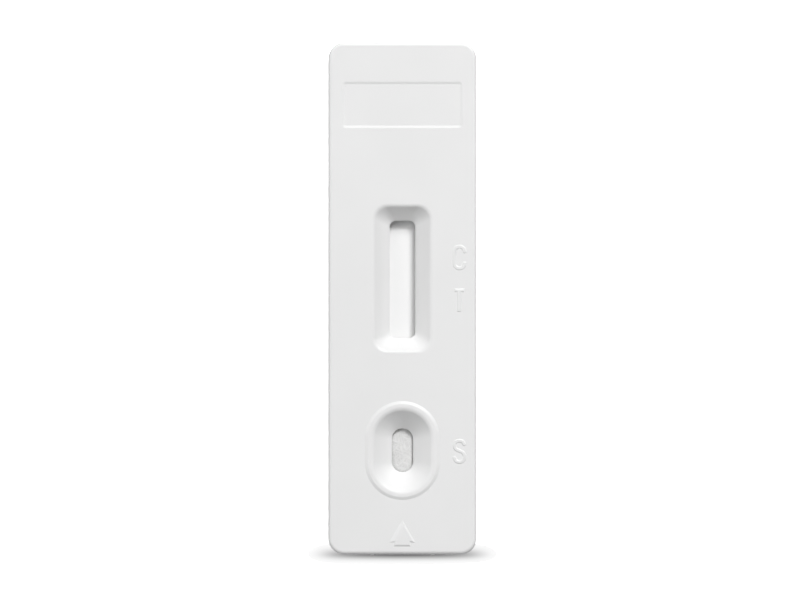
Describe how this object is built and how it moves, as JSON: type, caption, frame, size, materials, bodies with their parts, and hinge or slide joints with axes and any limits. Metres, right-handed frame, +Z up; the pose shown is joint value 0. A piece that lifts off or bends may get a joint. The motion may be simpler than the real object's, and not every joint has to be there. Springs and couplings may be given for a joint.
{
  "type": "lateral flow cassette",
  "caption": "Flat white lateral flow test cassette with a bevelled result window, a rimmed oval sample well, a bare label panel and a test strip inside.",
  "frame": {"origin": "middle of the flat underside, on the surface that the cassette lies on", "axes": "+X across the width, towards the side with the marks; +Y along the length, from the sample well to the label panel; +Z up through the thickness"},
  "size_m": [0.0202, 0.0701, 0.0052],
  "materials": {
    "housing": "satin",
    "card": "satin",
    "membrane": "matte",
    "conjugate": "matte",
    "pad": "matte"
  },
  "bodies": {
    "root": {"top_cover": "housing", "base_shell": "housing", "backing_card": "card", "membrane": "membrane", "conjugate_pad": "conjugate", "sample_pad": "pad", "absorbent_pad": "pad"}
  },
  "joints": []
}
